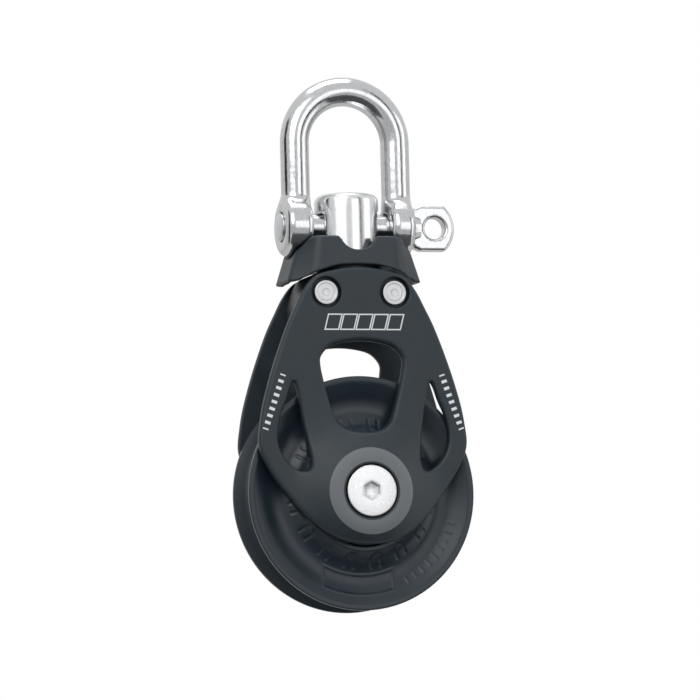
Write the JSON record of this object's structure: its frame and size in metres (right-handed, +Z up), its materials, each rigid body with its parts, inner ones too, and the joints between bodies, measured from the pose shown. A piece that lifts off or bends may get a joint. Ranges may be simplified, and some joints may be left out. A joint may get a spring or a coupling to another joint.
{
  "type": "single sheave block",
  "caption": "Single sheave block with two windowed cheeks, a grooved sheave on a ball and bush bearing, and a swivelling bow shackle.",
  "frame": {"origin": "where the block hangs: the inside of the shackle bow, at its top", "axes": "+Z up, towards the bow's crown; +X along the shackle pin towards its ring; +Y along the sheave's axle, away from the near cheek"},
  "size_m": [0.045, 0.025, 0.1038],
  "materials": {
    "polished_stainless": "polished stainless steel",
    "satin_stainless": "turned satin stainless steel",
    "black_forging": "hard anodised forging, dark slate grey",
    "machined_aluminium": "dark anodised machined aluminium",
    "cap_moulding": "black moulding, fine spark texture",
    "sheave_moulding": "black moulding, satin",
    "acetal": "white acetal",
    "liner": "grey bearing liner"
  },
  "bodies": {
    "shackle": {"shackle_bow": "polished_stainless"},
    "pin": {"shackle_pin": "polished_stainless"},
    "head": {"swivel_post": "satin_stainless", "post_nut": "satin_stainless", "nut_washer": "satin_stainless", "head_cap": "cap_moulding"},
    "block": {"head_block": "machined_aluminium", "thrust_washer": "acetal", "near_cheek": "black_forging", "far_cheek": "black_forging", "left_rivet": "satin_stainless", "right_rivet": "satin_stainless", "axle": "satin_stainless", "near_axle_screw": "satin_stainless", "far_axle_screw": "satin_stainless"},
    "sheave_wheel": {"sheave": "sheave_moulding", "bush": "liner"},
    "near_balls": {"near_ball_cage": "liner", "near_ball_1": "acetal", "near_ball_2": "acetal", "near_ball_3": "acetal", "near_ball_4": "acetal", "near_ball_5": "acetal", "near_ball_6": "acetal", "near_ball_7": "acetal", "near_ball_8": "acetal"},
    "far_balls": {"far_ball_cage": "liner", "far_ball_1": "acetal", "far_ball_2": "acetal", "far_ball_3": "acetal", "far_ball_4": "acetal", "far_ball_5": "acetal", "far_ball_6": "acetal", "far_ball_7": "acetal", "far_ball_8": "acetal"}
  },
  "joints": [
    {"name": "pin_withdraw", "type": "slide", "parent": "shackle", "child": "pin", "axis": [1, 0, 0], "range_m": [0, 0.0155]},
    {"name": "shackle_swing", "type": "hinge", "parent": "shackle", "child": "head", "pos_m": [0, 0, -0.02385], "axis": [1, 0, 0], "range_deg": [-85, 85]},
    {"name": "head_swivel", "type": "hinge", "parent": "head", "child": "block", "pos_m": [0, 0, -0.0322], "axis": [0, 0, 1], "continuous": true},
    {"name": "sheave_spin", "type": "hinge", "parent": "block", "child": "sheave_wheel", "pos_m": [0, 0, -0.0757], "axis": [0, 1, 0], "continuous": true},
    {"name": "near_balls_turn", "type": "hinge", "parent": "block", "child": "near_balls", "pos_m": [0, 0, -0.0757], "axis": [0, 1, 0], "continuous": true},
    {"name": "far_balls_turn", "type": "hinge", "parent": "block", "child": "far_balls", "pos_m": [0, 0, -0.0757], "axis": [0, 1, 0], "continuous": true}
  ],
  "couplings": [
    {"joint": "near_balls_turn", "follows": "sheave_spin", "ratio": 0.5},
    {"joint": "far_balls_turn", "follows": "sheave_spin", "ratio": 0.5}
  ]
}
